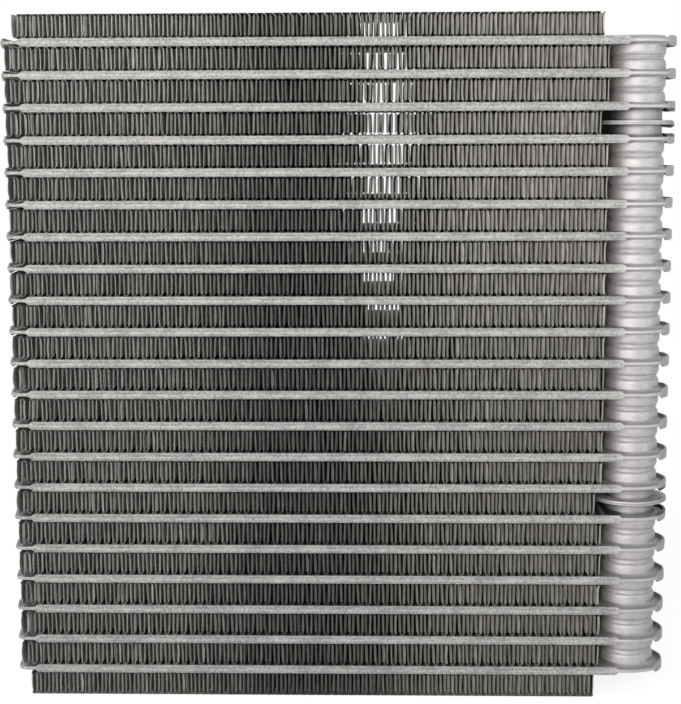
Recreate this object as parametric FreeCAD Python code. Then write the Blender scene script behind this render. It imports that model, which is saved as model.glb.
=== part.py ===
import FreeCAD, Part
import math
import os

# Evaporator core of drawn-cup plates, in millimetres. It stands upright on its
# lowest fin row: X to the tank end, Y along the air flow, Z up the stack.
# The origin is at the middle of the outline's foot.

# Tube stack: each tube is two stamped plates brazed face to face
tubeCount = 21
tubeHeight = 3.0
finHeight = 8.2
coreWidth = 235.5
coreDepth = 58.0
plateThickness = 0.6
lipReach = 2.15

# Free end of a tube, away from the tanks
endFlange = 6.2
endCorner = 4.0
endLipThickness = 1.3
endLipSetBack = 5.0

# Tank end of a tube: two round lobes, each around a drawn cup
tankGap = 5.2
notchDepth = 3.0
lobeSteps = 8
tankLipThickness = 0.9
tankLipSteps = 4
cupFlange = 3.6
cupTaper = 1.1
cupSides = 10
bandIntoCup = 2.9

# Closed ends of the tanks, and the two that a refrigerant pipe enters
capStep = 0.4
capTaper = 0.6
inletRadius = 4.8
outletRadius = 6.4
portDepth = 6.0

# Divider plates, each in the gap below its tube
dividerBelow = {"divider_upper": "tube_03", "divider_lower": "tube_15"}
dividerThickness = 1.5
dividerBridge = 12.0
neckStep = 0.9

# Fins: one folded sheet for each gap, and one above and below the stack
finWaves = 14
finSheet = 0.4
finSetBack = 0.5
finEndGap = 0.7
finTankGap = 1.9
finDividerGap = 0.8
outerFinShortLeft = 3.0
outerFinShortRight = 1.8

# Places that follow from the sizes above
tubePitch = tubeHeight + finHeight
capHeight = tubeHeight / 2 + capStep
leftX = -coreWidth / 2
rightX = coreWidth / 2
frontY = -coreDepth / 2
backY = coreDepth / 2
lobeRadius = (coreDepth - tankGap) / 4
lobeTurn = 180.0 / lobeSteps
cupRadius = lobeRadius - cupFlange
cupX = rightX - lobeRadius
cupYs = (frontY + lobeRadius, backY - lobeRadius)
bandLeftX = leftX + endFlange
bandRightX = cupX - cupRadius + bandIntoCup
finLeftX = leftX + endLipThickness + finEndGap
finRightX = cupX - cupRadius - finTankGap
dividerFinRightX = cupX - lobeRadius - finDividerGap


def ringPoint(centreY, radius, degrees, z):
    """A point on a circle around one tank's axis."""
    turn = math.radians(degrees)
    return FreeCAD.Vector(cupX + radius * math.cos(turn), centreY + radius * math.sin(turn), z)


def flatFace(points):
    return Part.Face(Part.makePolygon(points + points[:1]))


def fuseAll(pieces):
    """One solid from pieces that meet, with no seams left on flat faces."""
    return pieces[0].multiFuse(pieces[1:]).removeSplitter().Solids[0]


def tubeName(number):
    return "tube_%02d" % number


def tubeZ(number):
    """Middle height of a tube, where number 1 is the top one."""
    return finHeight + tubeHeight / 2 + (tubeCount - number) * tubePitch


def band(z):
    """The thick stretch that carries the refrigerant between two fin rows."""
    corner = FreeCAD.Vector(bandLeftX, frontY, z - tubeHeight / 2)
    return Part.makeBox(bandRightX - bandLeftX, coreDepth, tubeHeight, corner)


def lobe(centreY, z):
    """The round edge of one lobe, from its front tangent to its back one."""
    return [ringPoint(centreY, lobeRadius, lobeTurn * i - 90, z) for i in range(lobeSteps + 1)]


def flange(z):
    """The two plates where they lie face to face, from the free end round both lobes."""
    bottom = z - plateThickness
    frontEnd = [(leftX, frontY + endCorner), (leftX + endCorner, frontY)]
    notch = [(cupX - notchDepth, -tankGap / 2), (cupX - notchDepth, tankGap / 2)]
    backEnd = [(leftX + endCorner, backY), (leftX, backY - endCorner)]
    points = [FreeCAD.Vector(x, y, bottom) for x, y in frontEnd]
    points += lobe(cupYs[0], bottom)
    points += [FreeCAD.Vector(x, y, bottom) for x, y in notch]
    points += lobe(cupYs[1], bottom)
    points += [FreeCAD.Vector(x, y, bottom) for x, y in backEnd]
    return flatFace(points).extrude(FreeCAD.Vector(0, 0, 2 * plateThickness))


def endLip(z):
    """The upright lip across the free end."""
    corner = FreeCAD.Vector(leftX, frontY + endLipSetBack, z - lipReach)
    return Part.makeBox(endLipThickness, coreDepth - 2 * endLipSetBack, 2 * lipReach, corner)


def tankLip(centreY, z):
    """The turned edge around the outer end of a lobe."""
    first = -lobeTurn * tankLipSteps / 2
    angles = [first + lobeTurn * i for i in range(tankLipSteps + 1)]
    outer = [ringPoint(centreY, lobeRadius, a, z - lipReach) for a in angles]
    inner = [ringPoint(centreY, lobeRadius - tankLipThickness, a, z - lipReach) for a in angles]
    return flatFace(outer + inner[::-1]).extrude(FreeCAD.Vector(0, 0, 2 * lipReach))


def roundStage(centreY, baseZ, baseRadius, topZ, topRadius):
    """A round stage of a cup between two heights, with flat-sided walls."""
    turn = 360.0 / cupSides
    base = [ringPoint(centreY, baseRadius, turn * i, baseZ) for i in range(cupSides)]
    top = [ringPoint(centreY, topRadius, turn * i, topZ) for i in range(cupSides)]
    walls = [[base[i - 1], base[i], top[i], top[i - 1]] for i in range(cupSides)]
    stage = Part.Solid(Part.Shell([flatFace(points) for points in [base, top] + walls]))
    return stage if stage.Volume > 0 else stage.reversed()


def cup(centreY, number, side):
    """A drawn cup on one face of a tube: side is 1 upwards and -1 downwards."""
    z = tubeZ(number)
    tubeAboveGap = number if side == -1 else number - 1
    if tubeAboveGap in (0, tubeCount):
        return roundStage(centreY, z, cupRadius, z + side * capHeight, cupRadius - capTaper)
    if tubeName(tubeAboveGap) in dividerBelow.values():
        neckTop = z + side * (tubePitch - dividerThickness) / 2
        return roundStage(centreY, z, cupRadius - neckStep, neckTop, cupRadius - neckStep)
    return roundStage(centreY, z, cupRadius, z + side * tubePitch / 2, cupRadius - cupTaper)


def tube(number):
    z = tubeZ(number)
    pieces = [flange(z), band(z), endLip(z)]
    for centreY in cupYs:
        pieces.append(tankLip(centreY, z))
        pieces += [cup(centreY, number, side) for side in (1, -1)]
    return fuseAll(pieces)


def port(centreY, radius, side):
    """The hole for a pipe in the end of a tank: side is 1 at the top and -1 at the bottom."""
    z = tubeZ(1 if side == 1 else tubeCount) + side * capHeight
    return Part.makeCylinder(radius, portDepth, FreeCAD.Vector(cupX, centreY, z), FreeCAD.Vector(0, 0, -side))


def divider(number):
    """A flat plate across both tanks, gripped between the cups below this tube."""
    z = tubeZ(number) - tubePitch / 2 - dividerThickness / 2
    lift = FreeCAD.Vector(0, 0, dividerThickness)
    corner = FreeCAD.Vector(cupX - dividerBridge / 2, cupYs[0], z)
    pieces = [Part.makeBox(dividerBridge, cupYs[1] - cupYs[0], dividerThickness, corner)]
    for centreY in cupYs:
        edge = [ringPoint(centreY, lobeRadius, lobeTurn * i, z) for i in range(2 * lobeSteps)]
        pieces.append(flatFace(edge).extrude(lift))
    return fuseAll(pieces)


def finEnds(row):
    """Left and right ends of a fin row, where row 1 is above the top tube."""
    if row in (1, tubeCount + 1):
        return finLeftX + outerFinShortLeft, finRightX - outerFinShortRight
    if tubeName(row - 1) in dividerBelow.values():
        return finLeftX, dividerFinRightX
    return finLeftX, finRightX


def fin(row):
    """One sheet folded up and down from tube to tube."""
    left, right = finEnds(row)
    bottom = (tubeCount + 1 - row) * tubePitch
    step = (right - left) / (2 * finWaves)
    sheetRise = finSheet * math.hypot(1, finHeight / step)
    lower = []
    for i in range(2 * finWaves + 1):
        foldZ = bottom + i % 2 * (finHeight - sheetRise)
        lower.append(FreeCAD.Vector(left + step * i, frontY + finSetBack, foldZ))
    upper = [point + FreeCAD.Vector(0, 0, sheetRise) for point in lower]
    return flatFace(lower + upper[::-1]).extrude(FreeCAD.Vector(0, coreDepth - 2 * finSetBack, 0))


os.makedirs("parts", exist_ok=True)
tubes = {tubeName(number): tube(number) for number in range(1, tubeCount + 1)}
topTube, bottomTube = tubeName(1), tubeName(tubeCount)
tubes[topTube] = tubes[topTube].cut(port(cupYs[1], inletRadius, 1)).Solids[0]
tubes[bottomTube] = tubes[bottomTube].cut(port(cupYs[0], outletRadius, -1)).Solids[0]
fins = {"fin_%02d" % row: fin(row) for row in range(1, tubeCount + 2)}
dividers = {name: divider(list(tubes).index(above) + 1) for name, above in dividerBelow.items()}
for name, shape in {**tubes, **fins, **dividers}.items():
    shape.exportStep("parts/%s.step" % name)
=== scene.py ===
import math
import bpy
import numpy as np
from mathutils import Matrix, Vector


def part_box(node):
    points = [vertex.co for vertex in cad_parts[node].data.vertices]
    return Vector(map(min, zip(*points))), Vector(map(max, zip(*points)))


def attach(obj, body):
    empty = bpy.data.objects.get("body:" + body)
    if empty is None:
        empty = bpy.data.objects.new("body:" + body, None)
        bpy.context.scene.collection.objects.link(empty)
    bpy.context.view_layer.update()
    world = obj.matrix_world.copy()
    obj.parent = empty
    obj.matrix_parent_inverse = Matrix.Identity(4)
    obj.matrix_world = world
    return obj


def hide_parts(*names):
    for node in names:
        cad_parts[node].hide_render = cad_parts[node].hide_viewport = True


# Evaporator core, dressed for a studio shot. Lengths are in millimetres until a mesh is made.
# A pair of numbers in a dictionary is where a change starts and ends, unless a note there says otherwise.
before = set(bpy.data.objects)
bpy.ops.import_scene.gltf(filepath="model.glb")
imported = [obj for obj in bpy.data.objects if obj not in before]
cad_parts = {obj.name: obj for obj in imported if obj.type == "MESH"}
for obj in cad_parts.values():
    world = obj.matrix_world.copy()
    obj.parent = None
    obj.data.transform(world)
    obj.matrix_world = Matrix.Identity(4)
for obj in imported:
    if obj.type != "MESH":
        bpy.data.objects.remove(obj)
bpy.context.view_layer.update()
mm = 0.001
rng = np.random.default_rng(41)

# Camera, fitted to the photograph: where it stands, how it is turned (in degrees) and its lens
shot = {
    "position": (15.0, -592.0, 204.0),
    "yaw": -1.5,
    "pitch": 7.89,
    "roll": -0.2,
    "focalPixels": 1614.0,
    "photoHeight": 704,
    "sensor": 36.0,
    "nearest": 10,
    "furthest": 20000,
}


def makeCamera():
    data = bpy.data.cameras.new("camera")
    data.sensor_width = shot["sensor"]
    data.lens = shot["sensor"] * shot["focalPixels"] / shot["photoHeight"]
    data.clip_start, data.clip_end = shot["nearest"] * mm, shot["furthest"] * mm
    camera = bpy.data.objects.new("camera", data)
    yaw, pitch, roll = (math.radians(shot[name]) for name in ("yaw", "pitch", "roll"))
    ahead = Vector((math.sin(yaw) * math.cos(pitch), math.cos(yaw) * math.cos(pitch), -math.sin(pitch)))
    level = Vector((math.cos(yaw), -math.sin(yaw), 0))
    upright = level.cross(ahead)
    right = math.cos(roll) * level + math.sin(roll) * upright
    up = math.cos(roll) * upright - math.sin(roll) * level
    turned = Matrix((right, up, -ahead)).transposed().to_4x4()
    camera.matrix_world = Matrix.Translation(Vector(shot["position"]) * mm) @ turned
    bpy.context.scene.collection.objects.link(camera)
    bpy.context.scene.camera = camera


makeCamera()
print("camera made")


def boxOf(node):
    lo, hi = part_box(node)
    return np.array(lo) / mm, np.array(hi) / mm


# Places that every piece shares, read from the frame
tubeCount = 21
finBoxes = {row: boxOf("fin_%02d" % row) for row in range(1, tubeCount + 2)}
coreLo, coreHi = boxOf("tube_02")
coreFoot, coreTop = finBoxes[tubeCount + 1][0][2], finBoxes[1][1][2]
finHeight = coreTop - finBoxes[1][0][2]
tubeMiddle = {n: (finBoxes[n][0][2] + finBoxes[n + 1][1][2]) / 2 for n in range(1, tubeCount + 1)}
halfTube = (finBoxes[1][0][2] - finBoxes[2][1][2]) / 2
pitch = tubeMiddle[1] - tubeMiddle[2]
tank = {"radius": 13.2, "gap": 5.2, "notch": 3.0}
tank["x"] = coreHi[0] - tank["radius"]
tank["ys"] = (coreLo[1] + tank["radius"], coreHi[1] - tank["radius"])
dividerBelow = {3: "divider_upper", 15: "divider_lower"}
onEdge = 0.01  # a point this near to a side of the core lies on it


def near(limit, pair):
    # a pair that is given as distances from a limit
    return [limit + distance for distance in pair]


class Wire:
    # One output of a shader node. Sums and products of wires add Math nodes, node() adds any other.
    def __init__(self, tree, socket=None):
        self.tree = tree
        self.socket = socket

    def node(self, kind, settings, sockets, out=0):
        made = self.tree.nodes.new(kind)
        for name, value in settings.items():
            setattr(made, name, value)
        for name, value in sockets.items():
            if isinstance(value, Wire):
                self.tree.links.new(value.socket, made.inputs[name])
            else:
                made.inputs[name].default_value = value
        return Wire(self.tree, made.outputs[out] if made.outputs else None)

    def math(self, operation, a, b=0.0):
        return self.node("ShaderNodeMath", {"operation": operation}, {0: a, 1: b})

    def __add__(self, other):
        return self.math("ADD", self, other)

    def __sub__(self, other):
        return self.math("SUBTRACT", self, other)

    def __rsub__(self, other):
        return self.math("SUBTRACT", other, self)

    def __mul__(self, other):
        return self.math("MULTIPLY", self, other)

    def __abs__(self):
        return self.math("ABSOLUTE", self)

    __radd__ = __add__
    __rmul__ = __mul__

    def ramp(self, low, high):
        # 0 below low, 1 above high, smooth between them
        return self.node("ShaderNodeMapRange", {"interpolation_type": "SMOOTHSTEP"},
                         {"Value": self, "From Min": low, "From Max": high})

    def mix(self, colourA, colourB):
        # this wire is the share of the second colour
        return self.node("ShaderNodeMix", {"data_type": "RGBA"}, {0: self, 6: colourA, 7: colourB}, 2)

    def tinted(self, colour, tint):
        return self.node("ShaderNodeMix", {"data_type": "RGBA", "blend_type": "MULTIPLY"},
                         {0: 1.0, 6: colour, 7: tint}, 2)

    def grain(self, place, size, detail=2.0, rough=0.5):
        # noise whose lumps are about this many millimetres across
        return self.node("ShaderNodeTexNoise", {},
                         {"Vector": place, "Scale": 1 / (size * mm), "Detail": detail, "Roughness": rough})

    def stretched(self, place, factors):
        # a noise on it is drawn out along the axes whose factor is small
        return self.node("ShaderNodeVectorMath", {"operation": "MULTIPLY"}, {0: place, 1: factors})

    def along(self, place, axis):
        # distance along X, Y or Z (0, 1 or 2), in millimetres
        return self.node("ShaderNodeSeparateXYZ", {}, {"Vector": place}, axis) * (1 / mm)


def newMaterial(name):
    made = bpy.data.materials.new(name)
    made.use_nodes = True
    made.node_tree.nodes.clear()
    net = Wire(made.node_tree)
    return made, net, net.node("ShaderNodeTexCoord", {}, {}, "Object")


def grey(level):
    return (level, level, level, 1.0)


def finishMetal(net, look, colour, cloud, fine):
    # satin metal, clouded in its roughness and finely bumped
    bump = net.node("ShaderNodeBump", {}, {
        "Strength": look["bump"], "Distance": look["bumpDepth"] * mm, "Height": fine})
    shader = net.node("ShaderNodeBsdfPrincipled", {}, {
        "Base Color": colour,
        "Metallic": look["metallic"],
        "Roughness": cloud * look["clouding"] + (look["roughness"] - look["clouding"] / 2),
        "Normal": bump,
    })
    net.node("ShaderNodeOutputMaterial", {}, {"Surface": shader})


# Plates: bare brazed aluminium with a fine speckle and faint clouding, streaked along the rolled bands.
# A noise is given by the size of its lumps, its detail and its roughness.
plateLook = {
    "light": 0.62,
    "dark": 0.29,
    "drawnLight": 0.5,
    "drawnDark": 0.42,
    "metallic": 0.45,
    "roughness": 0.52,
    "clouding": 0.16,
    "bump": 0.15,
    "bumpDepth": 0.05,
    "speckle": (0.3, 3, 0.6),
    "speckleShare": 0.2,
    "mottle": (0.8, 2),
    "mottleShare": 0.4,
    "streak": (0.8, 3),
    "streakStretch": (0.12, 1, 1),
    "streakShare": 0.6,
    "cloud": (9.0, 3),
    "cloudShare": 0.2,
    "contrast": (0.38, 0.62),
    "fleck": (1.6, 2),
    "fleckFrom": (0.62, 0.74),
    "fleckShare": 0.2,
    "fleckLight": 0.74,
    "bandTo": (96.0, 103.0),
    "bandEdge": (0.02, 0.15),
    "bandTint": (1.024, 1, 0.977, 1),
    "cupTint": (1.035, 1, 1.0, 1),
    "earTint": (1.005, 1, 1.035, 1),
    "earTintFrom": (104, 112),
}

# How much darker parts of the plates are, and from where to where. The strips, ears, lower tanks and faces
# under the fins are painted shade.
plateShade = {
    "band": 0.4,
    "bandFade": 0.2,
    "bandFadeFrom": (0, 110),
    "endLipLighter": 0.5,
    "endLipTo": (-116.4, -113),
    "strip": 0.1,
    "stripFrom": (0.5, 0.75),
    "ear": 0.16,
    "earFrom": (113.4, 114.6),
    "lowTank": 0.2,
    "lowTankTo": (20, 190),
    "lowTankFrom": (97, 106),
    "underFin": 0.5,
    "underFinFrom": (-0.1, -0.04),
    "underFinTo": (-0.6, -0.3),
    "underFinEnd": (-0.5, 0.5),
    "most": 0.93,
}

# Necks beside the divider plates: painted shade, darkest at the left beside the fin ends and at both ends of
# each neck, with a painted dark reflection at the right
neckShade = {
    "all": 0.16,
    "left": 0.55,
    "leftTo": (95, 103),
    "right": 0.15,
    "rightFrom": (107, 112),
    "ends": 0.3,
    "plateEnd": (0.9, 1.5),
    "tubeEnd": (3.3, 4.4),
    "from": (0.76, 0.82),
    "to": (4.9, 4.98),
    "tankFrom": (94, 95),
    "bandEdge": (-0.9, -0.6),
}


def paintedNeckShade(x, z, depth):
    shade = neckShade
    stainAndShade = 0.0
    for number in dividerBelow:
        away = abs(z - (tubeMiddle[number] - pitch / 2))
        ends = 1 - away.ramp(*shade["plateEnd"]) + away.ramp(*shade["tubeEnd"])
        left = (1 - x.ramp(*shade["leftTo"])) * shade["left"]
        right = x.ramp(*shade["rightFrom"]) * shade["right"]
        # painted shade at the left and at both ends, painted dark reflection at the right
        dark = left + right + ends * shade["ends"] + shade["all"]
        stainAndShade = dark * away.ramp(*shade["from"]) * (1 - away.ramp(*shade["to"])) + stainAndShade
    return stainAndShade * x.ramp(*shade["tankFrom"]) * (1 - depth.ramp(*near(coreHi[1], shade["bandEdge"])))


def plateMaterial():
    look, shade = plateLook, plateShade
    made, net, place = newMaterial("brazedPlate")
    x, z, depth = net.along(place, 0), net.along(place, 2), abs(net.along(place, 1))
    speckle = net.grain(place, *look["speckle"])
    mottle = net.grain(place, *look["mottle"])
    cloud = net.grain(place, *look["cloud"])
    flecks = net.grain(place, *look["fleck"]).ramp(*look["fleckFrom"])
    streak = net.grain(net.stretched(place, look["streakStretch"]), *look["streak"])
    fromSeam = abs(net.math("FRACT", z * (1 / pitch)) * pitch - (pitch - halfTube))
    onBand = (1 - x.ramp(*look["bandTo"])) * (1 - fromSeam.ramp(*near(halfTube, look["bandEdge"])))
    tone = (mottle - streak) * onBand * look["mottleShare"] + speckle * look["speckleShare"]
    tone = (tone + streak * look["streakShare"] + cloud * look["cloudShare"]).ramp(*look["contrast"])
    rolled = tone.mix(grey(look["dark"]), grey(look["light"]))
    drawn = tone.mix(grey(look["drawnDark"]), grey(look["drawnLight"]))
    colour = onBand.mix(drawn, rolled)
    colour = (onBand * (flecks * look["fleckShare"])).mix(colour, grey(look["fleckLight"]))
    # the bands are darker than the tanks, but less so at both ends
    endLip = 1 - x.ramp(*shade["endLipTo"])
    bands = onBand * (1 - x.ramp(*shade["bandFadeFrom"]) * shade["bandFade"])
    bands = bands - endLip * shade["endLipLighter"]
    # painted shade on the upper and lower parts of each band, where the rounded edges catch more light
    strips = fromSeam.ramp(*shade["stripFrom"]) * onBand
    # painted shade on the ears
    ears = x.ramp(*shade["earFrom"])
    # painted shade: the tanks darker towards the bottom, where less light falls
    lowTank = (1 - z.ramp(*shade["lowTankTo"])) * x.ramp(*shade["lowTankFrom"])
    # painted shade on the faces that lie under the fins
    covered = fromSeam.ramp(*near(halfTube, shade["underFinFrom"]))
    covered = covered * (1 - depth.ramp(*near(coreHi[1], shade["underFinTo"]))) * onBand
    covered = covered * (1 - x.ramp(*near(finBoxes[2][1][0], shade["underFinEnd"])))
    darker = bands * shade["band"] + strips * shade["strip"] + ears * shade["ear"]
    darker = darker + paintedNeckShade(x, z, depth) + lowTank * shade["lowTank"] + covered * shade["underFin"]
    colour = net.math("MINIMUM", darker, shade["most"]).mix(colour, grey(0))
    # the lilac tint towards the right of the cups and on the ears is a painted reflection
    tint = x.ramp(*look["earTintFrom"]).mix(look["cupTint"], look["earTint"])
    colour = net.tinted(colour, onBand.mix(tint, look["bandTint"]))
    finishMetal(net, look, colour, cloud, speckle)
    return made


# Fins: thinner, duller sheet, a little stained, and tinted warmer towards the tank side as painted light
finLook = {
    "light": (0.622, 0.622, 0.616, 1),
    "dark": (0.416, 0.422, 0.42, 1),
    "metallic": 0.3,
    "roughness": 0.5,
    "clouding": 0.2,
    "bump": 0.2,
    "bumpDepth": 0.05,
    "streak": (0.9, 2),
    "streakStretch": (1, 0.3, 0.2),
    "contrast": (0.3, 0.7),
    "stainAndShade": (14, 3),
    "stainFrom": (0.5, 0.75),
    "stainShare": 0.35,
    "stainColour": (0.36, 0.34, 0.31, 1),
    # the grey that painted shade is mixed with
    "shadeGrey": 0.05,
    "crest": 0.25,
    "crestFrom": (-0.9, -0.1),
    "bareTop": (-0.16, -0.06),
    "edge": 0.45,
    "edgeFrom": (-0.58, -0.52),
    "lowLeft": 0.22,
    "lowLeftTo": (160, 245),
    "lowRight": 0.3,
    "lowRightTo": (80, 200),
    "rightFrom": (-60, 60),
    "middle": 0.4,
    "middleX": -12,
    "middleTo": (4, 56),
    "leftTint": (1.0, 1, 0.965, 1),
    "rightTint": (1.04, 1, 0.935, 1),
    "tintFrom": (-110, 100),
}


def finMaterial():
    look = finLook
    made, net, place = newMaterial("finSheet")
    x, z, depth = net.along(place, 0), net.along(place, 2), abs(net.along(place, 1))
    streak = net.grain(net.stretched(place, look["streakStretch"]), *look["streak"])
    stainAndShade = net.grain(place, *look["stainAndShade"])
    colour = streak.ramp(*look["contrast"]).mix(look["dark"], look["light"])
    colour = (stainAndShade.ramp(*look["stainFrom"]) * look["stainShare"]).mix(colour, look["stainColour"])
    # painted shade near the crests, where the rows meet the tubes, but none on the bare top of the core
    level = net.math("FRACT", (z - coreFoot) * (1 / pitch)) * pitch
    crest = abs(level - finHeight / 2).ramp(*near(finHeight / 2, look["crestFrom"]))
    bare = z.ramp(*near(coreTop, look["bareTop"]))
    colour = (crest * (1 - bare) * look["crest"]).mix(colour, grey(look["shadeGrey"]))
    # painted shade: the front and back edges, the lower rows and the middle of the core are made darker
    edge = depth.ramp(*near(coreHi[1], look["edgeFrom"]))
    right = x.ramp(*look["rightFrom"])
    lowLeft = (1 - z.ramp(*look["lowLeftTo"])) * look["lowLeft"]
    lowRight = (1 - z.ramp(*look["lowRightTo"])) * look["lowRight"]
    low = lowLeft * (1 - right) + lowRight * right
    middle = 1 - abs(x - look["middleX"]).ramp(*look["middleTo"])
    colour = (edge * look["edge"] + low + middle * look["middle"]).mix(colour, grey(look["shadeGrey"]))
    # painted light: the warmer tint towards the tank side stands for warm light on the faces seen there
    colour = net.tinted(colour, x.ramp(*look["tintFrom"]).mix(look["leftTint"], look["rightTint"]))
    finishMetal(net, look, colour, stainAndShade, streak)
    return made


plate = plateMaterial()
finSheet = finMaterial()
print("metals made")


class Shape:
    # Points and faces of one piece, gathered in millimetres
    def __init__(self):
        self.points = []
        self.faces = []
        self.count = 0

    def add(self, points, faces):
        # points has the shape (copies, points in a copy, 3); faces are those of one copy
        points = np.asarray(points, float)
        copies, each = points.shape[0], points.shape[1]
        starts = self.count + each * np.arange(copies)
        for size in (3, 4):
            some = np.array([face for face in faces if len(face) == size], int)
            if len(some):
                self.faces += (some[None] + starts[:, None, None]).reshape(-1, size).tolist()
        self.points.append(points.reshape(-1, 3))
        self.count += copies * each

    def build(self, name, material, node, sharp=None):
        # sharp is the angle in degrees from which an edge isn't smoothed
        mesh = bpy.data.meshes.new(name)
        mesh.from_pydata((np.concatenate(self.points) * mm).tolist(), [], self.faces)
        if sharp is not None:
            mesh.shade_smooth()
            mesh.set_sharp_from_angle(angle=math.radians(sharp))
        mesh.materials.append(material)
        piece = bpy.data.objects.new(name, mesh)
        bpy.context.scene.collection.objects.link(piece)
        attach(piece, "root")
        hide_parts(node)
        return piece


def loopFaces(stations, around, ring=False, closed=True):
    # quads between the stations of a sweep; ring joins its ends, closed joins the ends of its section
    faces = []
    for s in range(stations if ring else stations - 1):
        a, b = s * around, (s + 1) % stations * around
        for i in range(around if closed else around - 1):
            j = (i + 1) % around
            faces.append((a + i, a + j, b + j, b + i))
    return faces


def sweepEnds(stations):
    # the two ends of a sweep whose section has four corners
    last = 4 * (stations - 1)
    return [(3, 2, 1, 0), (last, last + 1, last + 2, last + 3)]


def smooth(value, low, high):
    t = np.clip((np.asarray(value, float) - low) / (high - low), 0, 1)
    return t * t * (3 - 2 * t)


def mirrored(half):
    half = np.array(half)
    return np.concatenate([half, -half[::-1]])


# Rim of a tube: two plates brazed edge to edge, with turned lips at both ends. Steps are places of its
# points along the outline, three numbers are the first, the last and how many, and turns are in degrees.
rim = {
    "plate": 0.6,  # thickness of one plate
    "lip": 0.9,  # thickness of a lip
    "lipReach": 1.9,  # its height above the seam
    "reach": 4.2,  # how far in from the outline the rim goes
    "corner": 4.0,
    "cornerTurns": (5, 85, 5),
    "bandLeft": -110.3,
    "leftRise": (-1.1, 0.6),
    "leftSteps": (-1.3, -0.9, -0.5, 0.0, 0.5, 1.0),
    "bandRight": 99.6,
    "rightFall": (-0.5, 0.8),
    "rightSteps": (-1.0, -0.5, -0.2, 0.2, 0.5, 0.9),
    "sideSteps": (-105, 94, 14),
    "beforeLobe": 1.5,
    "lobeTurns": (-90, -78, -66, -56, -50, -47, -44, -41, -37, -28, -17, -6),
    "notchSteps": 7,
    "endSteps": (24.9, 24.4, 24.1, 23.8, 23.2, 18, 6),
    "endLipTo": (23.4, 24.7),
    "earFrom": 1,
    "earTo": (40.0, 47.0),
    "rough": 0.22,  # unevenness of the lips, at random
    "sharp": 38,
}

# Section of the rim, as distances in from its outline and up from its seam
rimEdge = {
    "lipFoot": [(0.35, 0.0), (0.05, 0.25)],
    "lipInside": [(-0.05, -0.1), (-0.25, 0.0)],
    "round": 0.3,
    "lipRounder": 0.5,
    "roundest": 0.45,
    "bevel": 0.3,
    "waist": 0.05,
    "grooveTo": 0.8,
    "grooveStep": 0.1,
    "groove": 0.06,
    "grooveDrop": 0.09,
    "seam": (0.05, 0.02),
}

# Channel between the two plates and the flat end beside it, a little inside the rim
channel = {
    "inset": 0.5,
    "left": 2,
    "steps": (-100, 92, 10),
    "lower": 0.03,
    "higher": 0.01,
}


def arc(centre, radius, angles, inward=False):
    turns = np.radians(angles)
    out = np.stack([np.cos(turns), np.sin(turns)], 1)
    return np.array(centre) + radius * out, -out if inward else out


def straight(points, normal):
    points = np.array(points, float)
    return points, np.tile(np.array(normal, float), (len(points), 1))


def outline():
    # the tube seen from above, from its front left corner round the tanks and back, with its normals
    left, front, back = coreLo[0], coreLo[1], coreHi[1]
    corner, x, gap = rim["corner"], tank["x"], tank["gap"] / 2
    side = np.concatenate([
        rim["bandLeft"] + np.array(rim["leftSteps"]),
        np.linspace(*rim["sideSteps"]),
        rim["bandRight"] + np.array(rim["rightSteps"]),
        [x - rim["beforeLobe"]],
    ])
    lobe = mirrored(rim["lobeTurns"])
    quarter = np.linspace(*rim["cornerTurns"])
    parts = [
        straight([(v, front) for v in side], (0, -1)),
        arc((x, tank["ys"][0]), tank["radius"], lobe),
        arc((x - tank["notch"] + gap, 0), gap, np.linspace(270, 90, rim["notchSteps"]), inward=True),
        arc((x, tank["ys"][1]), tank["radius"], lobe),
        straight([(v, back) for v in side[::-1]], (0, 1)),
        arc((left + corner, back - corner), corner, 90 + quarter),
        straight([(left, v) for v in mirrored(rim["endSteps"])], (-1, 0)),
        arc((left + corner, front + corner), corner, 180 + quarter),
    ]
    return np.concatenate([p for p, _ in parts]), np.concatenate([n for _, n in parts])


def lipShare(x, y):
    # 1 where the edge is turned up and down into a lip, 0 where it lies flat
    endLip = np.where(x < coreLo[0] + onEdge, 1 - smooth(np.abs(y), *rim["endLipTo"]), 0)
    fromAxis = np.minimum(np.abs(y - tank["ys"][0]), np.abs(y - tank["ys"][1]))
    turn = np.degrees(np.arctan2(fromAxis, x - tank["x"]))
    ear = np.where(x > tank["x"] + rim["earFrom"], 1 - smooth(turn, *rim["earTo"]), 0)
    return np.maximum(endLip, ear)


def bandShare(x):
    # 1 along the thick band, 0 where the plates lie flat on each other
    rise = smooth(x, *near(rim["bandLeft"], rim["leftRise"]))
    return rise * (1 - smooth(x, *near(rim["bandRight"], rim["rightFall"])))


def rimHeights(x, y):
    flat = rim["plate"]
    alongSide = np.abs(y) > coreHi[1] - onEdge
    height = np.where(alongSide, flat + (halfTube - flat) * bandShare(x), flat)
    return height + (rim["lipReach"] - flat) * lipShare(x, y)


def rimSection(height):
    # from the inner top edge out, down past the seam and in to the inner bottom edge
    flat, lip, edge = rim["plate"], rim["lip"], rimEdge
    soft = min(edge["round"] + edge["lipRounder"] * max(height - halfTube, 0), height * edge["roundest"])
    thick = min((height - flat) / (halfTube - flat), 1)
    groove = min(flat, (height - soft) * edge["grooveTo"])
    top = [(rim["reach"], flat)]
    top += [(lip + u, min(flat + w, height)) for u, w in edge["lipFoot"]]
    top += [(lip + u, height + w) for u, w in edge["lipInside"]]
    top += [
        (soft, height),
        (soft * edge["bevel"], height - soft * edge["bevel"]),
        (edge["waist"] * thick, height - soft),
        (edge["waist"] * thick, groove + edge["grooveStep"] * thick),
        (edge["groove"] * thick, groove),
        (0.0, groove - edge["grooveDrop"]),
        (edge["seam"][0] * thick, edge["seam"][1]),
    ]
    return top + [(u, -w) for u, w in top[::-1]]


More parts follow.
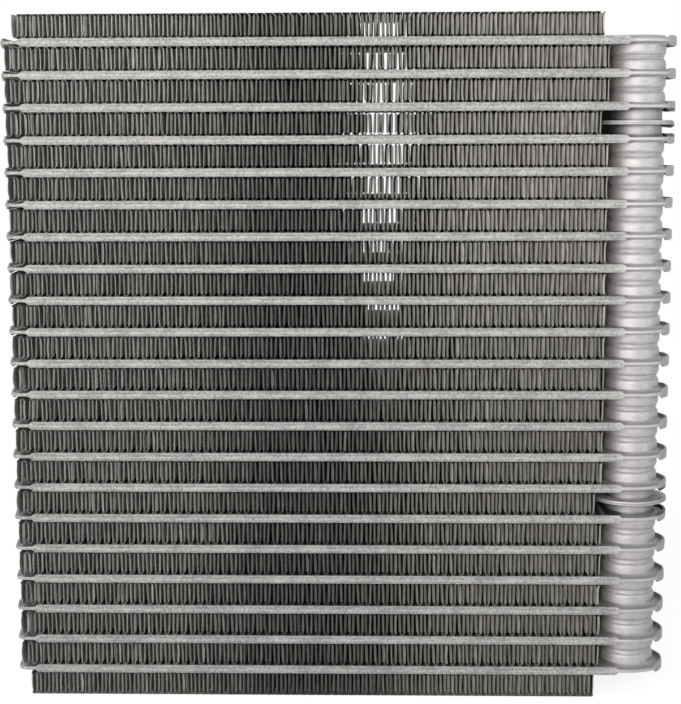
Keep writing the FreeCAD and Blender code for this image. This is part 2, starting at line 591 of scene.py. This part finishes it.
def addRim(shape, z):
    places, normals = outline()
    lips = lipShare(*places.T)
    heights = rimHeights(*places.T) - rng.uniform(0, rim["rough"], len(places)) * lips
    places = places - normals * (rng.uniform(0, rim["rough"], len(places)) * lips)[:, None]
    sections = []
    for (x, y), (nx, ny), height in zip(places, normals, heights):
        sections.append([(x - nx * u, y - ny * u, z + w) for u, w in rimSection(height)])
    sections = np.array(sections)
    shape.add(sections.reshape(1, -1, 3), loopFaces(len(places), sections.shape[1], ring=True))


def addChannel(shape, z):
    front, back = coreLo[1] + channel["inset"], coreHi[1] - channel["inset"]
    xs = np.concatenate([
        [coreLo[0] + rim["lip"] + channel["left"]],
        rim["bandLeft"] + np.array(rim["leftSteps"]),
        np.linspace(*channel["steps"]),
        rim["bandRight"] + np.array(rim["rightSteps"][:-1]),
    ])
    half = rim["plate"] - channel["lower"] + (halfTube - rim["plate"] + channel["higher"]) * bandShare(xs)
    sections = []
    for x, h in zip(xs, half):
        sections.append([(x, front, z + h), (x, front, z - h), (x, back, z - h), (x, back, z + h)])
    shape.add(np.array(sections).reshape(1, -1, 3), loopFaces(len(xs), 4) + sweepEnds(len(xs)))


# Drawn cups: radius and height above the tube's middle, walked from the axis out and up to the joint
cups = {
    "around": 36,
    "start": [(0, 0.0), (11.4, 0.3)],
    "foot": [(11.5, 0.52), (10.6, 0.7), (10.0, 1.0), (9.64, 1.4)],
    "wall": [(9.57, 3.7), (9.48, 4.2), (9.26, 4.65), (9.0, 4.9)],
    "seat": [(8.84, 5.1), (8.74, 5.34), (8.7, 5.6)],
    "bead": [(8.92, 5.0), (9.02, 5.14), (9.04, 5.34), (8.9, 5.5), (8.7, 5.6)],
    "neckStart": [(0, 0.0), (9.5, 0.3)],
    "neck": [(9.3, 0.66), (8.9, 0.95), (8.7, 1.4), (8.7, 4.3), (8.8, 4.6), (8.8, 4.86)],
    "cap": [(9.5, 1.45), (9.25, 1.78), (8.9, 1.9)],
}

# Holes for the pipes, each by its tube, its tank (0 in front, 1 behind) and its side (1 above, -1 below)
ports = {
    "radius": {(1, 1, 1): 4.8, (tubeCount, 0, -1): 6.4},
    "chamfer": (0.35, 0.2),  # out and down
    "depth": 6.0,
    "floor": 0.2,
    "wall": 0.6,
    "wallFoot": 0.3,
}


def revolve(shape, profile, centre, z, side):
    # profile starts and ends on the axis
    around = cups["around"]
    turns = np.arange(around) * 2 * math.pi / around
    spokes = [(math.cos(turn), math.sin(turn)) for turn in turns]
    rings = profile[1:-1]
    points = [(centre[0], centre[1], z + side * profile[0][1])]
    for radius, height in rings:
        points += [(centre[0] + radius * c, centre[1] + radius * s, z + side * height) for c, s in spokes]
    points.append((centre[0], centre[1], z + side * profile[-1][1]))
    faces = [(a + 1, b + 1, c + 1, d + 1) for a, b, c, d in loopFaces(len(rings), around)]
    last = len(points) - 1
    for i in range(around):
        j = (i + 1) % around
        faces += [(0, 1 + j, 1 + i), (last, last - around + i, last - around + j)]
    if side < 0:
        faces = [face[::-1] for face in faces]
    shape.add(np.array(points).reshape(1, -1, 3), faces)


def portProfile(radius):
    # a closed end with a blind hole: its floor from below, its wall, the end itself and the hole's inside
    top = cups["cap"][-1][1]
    floor = top - ports["depth"]
    under, wall = floor - ports["floor"], radius + ports["wall"]
    out, down = ports["chamfer"]
    outside = [(0, under), (wall, under), (wall, ports["wallFoot"])]
    inside = [(radius + out, top), (radius, top - down), (radius, floor), (0, floor)]
    return outside + cups["foot"] + cups["cap"] + inside


def cupProfile(number, side):
    gapBelow = number if side < 0 else number - 1
    if gapBelow in (0, tubeCount):
        profile = cups["start"] + cups["foot"] + cups["cap"]
    elif gapBelow in dividerBelow:
        profile = cups["neckStart"] + cups["neck"]
    else:
        profile = cups["start"] + cups["foot"] + cups["wall"] + cups["bead" if side < 0 else "seat"]
    return profile + [(0, profile[-1][1])]


def makeTube(number):
    shape = Shape()
    z = tubeMiddle[number]
    addRim(shape, z)
    addChannel(shape, z)
    for lobe, centreY in enumerate(tank["ys"]):
        for side in (1, -1):
            port = ports["radius"].get((number, lobe, side))
            profile = portProfile(port) if port else cupProfile(number, side)
            revolve(shape, profile, (tank["x"], centreY), z, side)
    name = "tube_%02d" % number
    return shape.build("drawnCupTube%02d" % number, plate, name, sharp=rim["sharp"])


tubes = [makeTube(number) for number in range(1, tubeCount + 1)]
print("tubes made:", sum(len(t.data.polygons) for t in tubes), "faces")

# Fins: one sheet folded to and fro, louvred between its folds
fins = {
    "legs": 138,
    "sheet": 0.1,
    "inset": 0.5,
    "fold": 0.66,  # half the width of a crest
    "foldJitter": 0.11,
    "plain": 0.85,  # where a crest's sides end and the bars start
    "kink": 0.5,
    "bow": 0.18,
    "endBow": 0.35,
    "endLegs": 2.5,
    "firstBow": (0.1, 0.7),  # random between these two
    "secondBow": (0.0, 0.6),  # random too
    "drift": 0.5,
    "evenLean": 0.25,  # share of a leg's lean that isn't drawn together at its folds
    "shoulder": [(0.08, 0.28), (0.38, 0.0)],
    "follow": (1, 1, 0.7, 0.4),  # share of the legs' drift that a crest's points have
    "pressedShoulder": [(0.0, 0.14), (0.16, 0.0)],
    "pressedFollow": (1, 1, 0, 0),
    "topGap": 0.14,
    "footGap": 0.02,
    "insideX": (1, 1, 0.9, 0.4),  # from a crest's outer face to its inner one, in sheets
    "insideZ": (0, 0.2, 0.7, 1),
    "cutEndTop": -0.985,  # level, where -1 is the top of the row
}

# Bars and louvres between the folds; turns are in degrees, twists in millimetres across a bar
louvres = {
    "margin": 0.75,
    "overlap": 0.03,
    "frontLevels": (-1, -0.45, 0, 0.45, 1),
    "backLevels": (-1, 0, 1),
    "twist": 0.16,
    "twistSpread": 0.13,
    "twistLimits": (-0.3, 0.6),
    "twistLegs": 18,
    "lastBend": 0.9,
    "lastBendShare": (0.3, 1),  # random between these two
    "bank": 8,
    "pitch": 1.4,
    "width": 1.45,
    "turn": 36.0,
    "opening": (0.85, 1.15),  # random too
    "bowShare": 0.3,
}
finFront, finBack = coreLo[1] + fins["inset"], coreHi[1] - fins["inset"]


class FinLegs:
    # Where the legs of one row run. A level is -1 at the top of the row and 1 at its foot.
    def __init__(self, row):
        lo, hi = finBoxes[row]
        self.top, self.bottom = hi[2], lo[2]
        self.height = self.top - self.bottom
        count, fold = fins["legs"], fins["fold"]
        self.index = np.arange(count)
        past = fold - fins["sheet"] / 2
        folds = np.linspace(lo[0] - past, hi[0] + past, count + 1)
        folds[1:-1] += rng.normal(0, fins["foldJitter"], count - 1)
        down = self.index % 2 == 0
        xTop = np.where(down, folds[:-1] + fold, folds[1:] - fold)
        xBottom = np.where(down, folds[1:] - fold, folds[:-1] + fold)
        self.folds = folds
        self.middle, self.lean = (xTop + xBottom) / 2, (xBottom - xTop) / 2
        # legs bow a little, and those at the left end of the row more than the others
        self.bow = rng.normal(0, fins["bow"], count)
        self.bow += np.exp(-self.index / fins["endLegs"]) * rng.normal(0, fins["endBow"], count)
        self.bow[0] = -rng.uniform(*fins["firstBow"])
        self.bow[1] = rng.uniform(*fins["secondBow"])
        self.drift = rng.uniform(-fins["drift"], fins["drift"], count)
        self.barEnd = self.levelIn(fins["plain"])

    def levelIn(self, inset):
        # level of a place this far in from the foot of the row, or with a minus from its top
        return 1 - 2 * inset / self.height

    def z(self, level):
        return (self.top + self.bottom) / 2 - level * self.height / 2

    def x(self, level, bowShare=1.0):
        lean = fins["evenLean"] * level + (1 - fins["evenLean"]) * level ** 3
        return self.middle + self.lean * lean + self.bow * bowShare * (1 - level ** 2)

    def wander(self, y):
        # sideways drift towards the rear
        return self.drift * (y - finFront) / (finBack - finFront)


def addCrests(shape, row, legs, sign):
    # flat crests with round shoulders along the whole depth: sign is -1 at the top and 1 at the foot
    ks = np.arange(2 if sign < 0 else 1, fins["legs"], 2)
    middles = legs.folds[ks]
    left, right = middles - fins["fold"], middles + fins["fold"]
    follow, shoulder = np.array(fins["follow"]), fins["shoulder"]
    if (row, sign) in ((1, -1), (tubeCount + 1, 1)):
        # the bare outer crests are pressed flat, nearly edge to edge
        between = (middles[1:] + middles[:-1]) / 2
        halfGap = (fins["topGap"] if sign < 0 else fins["footGap"]) / 2
        left[1:], right[:-1] = between + halfGap, between - halfGap
        follow, shoulder = np.array(fins["pressedFollow"]), fins["pressedShoulder"]
    sheet = fins["sheet"]
    leftSide, rightSide = [], []
    for level in (sign * legs.barEnd, sign * legs.levelIn(fins["kink"])):
        leftSide.append((legs.x(level)[ks - 1] - sheet / 2, level))
        rightSide.append((legs.x(level)[ks] + sheet / 2, level))
    for inset, drop in shoulder:
        leftSide.append((left + inset, sign * legs.levelIn(drop)))
        rightSide.append((right - inset, sign * legs.levelIn(drop)))
    profile = leftSide + rightSide[::-1]
    xs = np.stack([x for x, _ in profile], 1)
    zs = np.stack([np.full(ks.shape, legs.z(level)) for _, level in profile], 1)
    dx = mirrored(fins["insideX"]) * sheet
    dz = np.concatenate([fins["insideZ"], fins["insideZ"][::-1]]) * sheet * sign
    wander = legs.wander(finBack)
    shift = np.concatenate([wander[ks - 1][:, None] * follow, wander[ks][:, None] * follow[::-1]], 1)
    loopX = np.concatenate([xs, (xs + dx)[:, ::-1]], 1)
    loopZ = np.concatenate([zs, (zs + dz)[:, ::-1]], 1)
    shift = np.concatenate([shift, shift[:, ::-1]], 1)
    n = loopX.shape[1]
    ends = [np.stack([loopX, np.full(loopX.shape, finFront), loopZ], 2),
            np.stack([loopX + shift, np.full(loopX.shape, finBack), loopZ], 2)]
    faces = loopFaces(2, n)
    faces += [(i + 1, n - 2 - i, n - 1 - i, i) for i in range(n // 2 - 1)]
    faces += [(n + i, n + n - 1 - i, n + n - 2 - i, n + i + 1) for i in range(n // 2 - 1)]
    if sign > 0:
        faces = [face[::-1] for face in faces]
    shape.add(np.concatenate(ends, 1), faces)


def addCutEnds(shape, legs):
    # the cut ends of the sheet stand up to the tube above
    half = fins["sheet"] / 2
    for leg in (0, -1):
        stations = []
        for level in (-legs.barEnd, fins["cutEndTop"]):
            x, z = legs.x(level)[leg], legs.z(level)
            stations += [(x - half, finFront, z), (x + half, finFront, z)]
            stations += [(x + half, finBack, z), (x - half, finBack, z)]
        shape.add([stations], loopFaces(2, 4) + sweepEnds(2))


def addBars(shape, legs, some, ys, twists, levels):
    # upright bars on some of the legs, from the first y to the second
    half = fins["sheet"] / 2
    stations = []
    for level in np.array(levels) * (legs.barEnd + louvres["overlap"]):
        start, end = (legs.x(level)[some] + legs.wander(y)[some] + twist for y, twist in zip(ys, twists))
        z = np.full(len(some), legs.z(level))
        for x, y in ((start - half, ys[0]), (start + half, ys[0]), (end + half, ys[1]), (end - half, ys[1])):
            stations.append(np.stack([x, np.full(len(some), y), z], 1))
    shape.add(np.stack(stations, 1), loopFaces(len(levels), 4) + sweepEnds(len(levels)))


def addLouvres(shape, legs, some):
    # two banks turned against each other, with a plain stretch between them
    margin, step, width = louvres["margin"], louvres["pitch"], louvres["width"]
    slats = []
    for j in range(louvres["bank"]):
        offset = margin + step * (j + 0.5)
        slats.append((finFront + offset, width, -louvres["turn"]))
        slats.append((finBack - offset, width, louvres["turn"]))
    slats.append((0.0, finBack - finFront - 2 * (margin + step * louvres["bank"]), 0.0))
    faces = [(0, 1, 4, 3), (1, 2, 5, 4), (2, 0, 3, 5), (2, 1, 0), (3, 4, 5)]
    opening = rng.uniform(*louvres["opening"], len(some))
    for y, width, turn in slats:
        t = np.radians(turn * opening)
        lengthwise = np.stack([np.sin(t), np.cos(t)]) * width / 2
        across = np.stack([np.cos(t), -np.sin(t)]) * fins["sheet"]
        points = []
        for level in (-legs.barEnd, legs.barEnd):
            x = legs.x(level, louvres["bowShare"])[some] + legs.wander(y)[some]
            z = np.full(len(some), legs.z(level))
            points += [np.stack([x + cx, y + cy, z], 1) for cx, cy in (-lengthwise, lengthwise, across)]
        shape.add(np.stack(points, 1), faces)


def makeFin(row):
    shape = Shape()
    legs = FinLegs(row)
    for sign in (-1, 1):
        addCrests(shape, row, legs, sign)
    addCutEnds(shape, legs)
    # front and back margins of the legs are plain, and so is the whole of each end leg
    margin, twist, spread = louvres["margin"], louvres["twist"], louvres["twistSpread"]
    louvred = legs.index[1:-1]
    twists = rng.normal(twist, spread * (1 + np.exp(-legs.index / louvres["twistLegs"])))
    twists = np.clip(twists, *louvres["twistLimits"])
    twists[-1] = -louvres["lastBend"] * rng.uniform(*louvres["lastBendShare"])
    addBars(shape, legs, legs.index, (finFront, finFront + margin), (twists, 0), louvres["frontLevels"])
    addBars(shape, legs, legs.index[[0, -1]], (finFront + margin, finBack), (0, 0), louvres["frontLevels"])
    turned = rng.normal(twist, spread, len(louvred))
    addBars(shape, legs, louvred, (finBack - margin, finBack), (0, turned), louvres["backLevels"])
    addLouvres(shape, legs, louvred)
    return shape.build("louvredFin%02d" % row, finSheet, "fin_%02d" % row)


finPieces = [makeFin(row) for row in range(1, tubeCount + 2)]
print("fins made:", sum(len(t.data.polygons) for t in finPieces), "faces")

# Divider plates: a flat plate across both tanks. The front end of the upper one is bent down and lumpy.
# Its edge is given as distances in from the outline and down from the face, its groove by depth and half
# its width.
divider = {
    "bridge": 12.0,
    "around": 60,
    "edge": [(0.3, 0.0), (0.08, 0.1), (0.0, 0.3)],
    "groove": (0.25, 0.14),
    "sharp": 38,
    "bentBelow": 3,
    "bentTo": (14, 30),
    "drop": (0.3, 1.3),  # random between these two
    "rough": (0.1, 1.1),  # random too
}


def makeDivider(number, node):
    lo, hi = boxOf(node)
    z, half = (lo[2] + hi[2]) / 2, (hi[2] - lo[2]) / 2
    x, ys, around = tank["x"], tank["ys"], divider["around"]
    throat = math.degrees(math.asin(divider["bridge"] / 2 / tank["radius"]))
    front = arc((x, ys[0]), tank["radius"], np.linspace(90 + throat, 450 - throat, around))
    rear = arc((x, ys[1]), tank["radius"], np.linspace(-90 + throat, 270 - throat, around))
    places, normals = (np.concatenate(pair) for pair in zip(front, rear))
    grooveDepth, grooveHalf = divider["groove"]
    upper = [(u, half - w) for u, w in divider["edge"]] + [(0.0, grooveHalf)]
    section = upper + [(grooveDepth, 0.0)] + [(u, -w) for u, w in upper[::-1]]
    turn = np.degrees(np.arctan2(places[:, 1] - ys[0], places[:, 0] - x))
    bent = (1 - smooth(np.abs(turn), *divider["bentTo"])) * (number == divider["bentBelow"])
    drops = bent * rng.uniform(*divider["drop"], len(places))
    insets = bent * rng.uniform(*divider["rough"], len(places))
    points = []
    for (px, py), (nx, ny), drop, inset in zip(places, normals, drops, insets):
        points += [(px - nx * (u + inset), py - ny * (u + inset), z + w - drop) for u, w in section]
    n = len(section)
    faces = loopFaces(len(places), n, ring=True, closed=False)
    # top and bottom: a fan in each lobe, and two quads across the bridge
    first = len(points)
    for side in (0, n - 1):
        points += [(x, centreY, points[side][2]) for centreY in ys]
    for side, middle in ((0, first), (n - 1, first + 2)):
        cap = []
        for centre, start in ((middle, 0), (middle + 1, around)):
            cap += [(centre, s * n + side, (s + 1) * n + side) for s in range(start, start + around - 1)]
        frontEnd, rearStart, rearEnd = (s * n + side for s in (around - 1, around, 2 * around - 1))
        cap += [(middle, frontEnd, rearStart, middle + 1), (middle, middle + 1, rearEnd, side)]
        faces += cap if side == 0 else [face[::-1] for face in cap]
    shape = Shape()
    shape.add(np.array(points).reshape(1, -1, 3), faces)
    name = "tankDivider%s" % node.split("_")[1].title()
    return shape.build(name, plate, node, sharp=divider["sharp"])


for number, node in dividerBelow.items():
    makeDivider(number, node)
print("dividers made")

# Studio: pale floor, white surroundings, soft lamps mostly from the front left
studio = {
    "floor": 0.8,
    "floorHalf": 3000,
    "shownFloor": 0.4,
    "shownGlow": 0.8,
    "fadeTo": (260, 420),
    "fill": 0.4,
    "aim": (0, 0, 120),
}
lamps = [
    {"name": "left", "place": (-620, -900, 300), "size": 500, "watts": 4.8, "tint": (1.0, 0.99, 0.97)},
    {"name": "front", "place": (-70, -1000, 330), "size": 400, "watts": 4.3, "tint": (1.0, 0.99, 0.98)},
    {"name": "right", "place": (850, -650, 150), "size": 500, "watts": 2.2, "tint": (0.95, 0.97, 1.0)},
]


def seenDirectly(net):
    # 1 for what the camera sees, itself or in metal and glass, and 0 for light that falls on the core
    outputs = net.node("ShaderNodeLightPath", {}, {}).socket.node.outputs
    names = ("Is Camera Ray", "Is Glossy Ray", "Is Transmission Ray")
    camera, glossy, through = (Wire(net.tree, outputs[name]) for name in names)
    return net.math("MINIMUM", camera + glossy + through, 1.0)


def makeWorld():
    world = bpy.data.worlds.new("studio")
    bpy.context.scene.world = world
    world.use_nodes = True
    world.node_tree.nodes.clear()
    net = Wire(world.node_tree)
    strength = seenDirectly(net) * (1 - studio["fill"]) + studio["fill"]
    glow = net.node("ShaderNodeBackground", {}, {"Color": grey(1), "Strength": strength})
    net.node("ShaderNodeOutputWorld", {}, {"Surface": glow})


def makeFloor():
    made, net, place = newMaterial("paleFloor")
    real = net.node("ShaderNodeBsdfDiffuse", {}, {"Color": grey(studio["floor"])})
    shown = net.node("ShaderNodeBsdfDiffuse", {}, {"Color": grey(studio["shownFloor"])})
    glow = net.node("ShaderNodeEmission", {}, {"Color": grey(1), "Strength": studio["shownGlow"]})
    shown = net.node("ShaderNodeAddShader", {}, {0: shown, 1: glow})
    # it fades to the white of the surroundings
    white = net.node("ShaderNodeEmission", {}, {"Color": grey(1), "Strength": 1.0})
    away = net.node("ShaderNodeVectorMath", {"operation": "LENGTH"}, {0: place}, "Value")
    far = away.ramp(*(distance * mm for distance in studio["fadeTo"]))
    shown = net.node("ShaderNodeMixShader", {}, {0: far, 1: shown, 2: white})
    both = net.node("ShaderNodeMixShader", {}, {0: seenDirectly(net), 1: real, 2: shown})
    net.node("ShaderNodeOutputMaterial", {}, {"Surface": both})
    half = studio["floorHalf"] * mm
    mesh = bpy.data.meshes.new("floor")
    corners = [(-half, -half, 0), (half, -half, 0), (half, half, 0), (-half, half, 0)]
    mesh.from_pydata(corners, [], [(0, 1, 2, 3)])
    mesh.materials.append(made)
    floor = bpy.data.objects.new("floor", mesh)
    bpy.context.scene.collection.objects.link(floor)


def makeLamps():
    for lamp in lamps:
        data = bpy.data.lights.new(lamp["name"], "AREA")
        data.size = lamp["size"] * mm
        data.energy = lamp["watts"]
        data.color = lamp["tint"]
        made = bpy.data.objects.new(lamp["name"], data)
        made.location = Vector(lamp["place"]) * mm
        aim = Vector(studio["aim"]) * mm - made.location
        made.rotation_euler = aim.to_track_quat("-Z", "Y").to_euler()
        bpy.context.scene.collection.objects.link(made)


makeWorld()
makeFloor()
makeLamps()
bpy.context.scene.view_settings.view_transform = "Standard"
print("studio made")
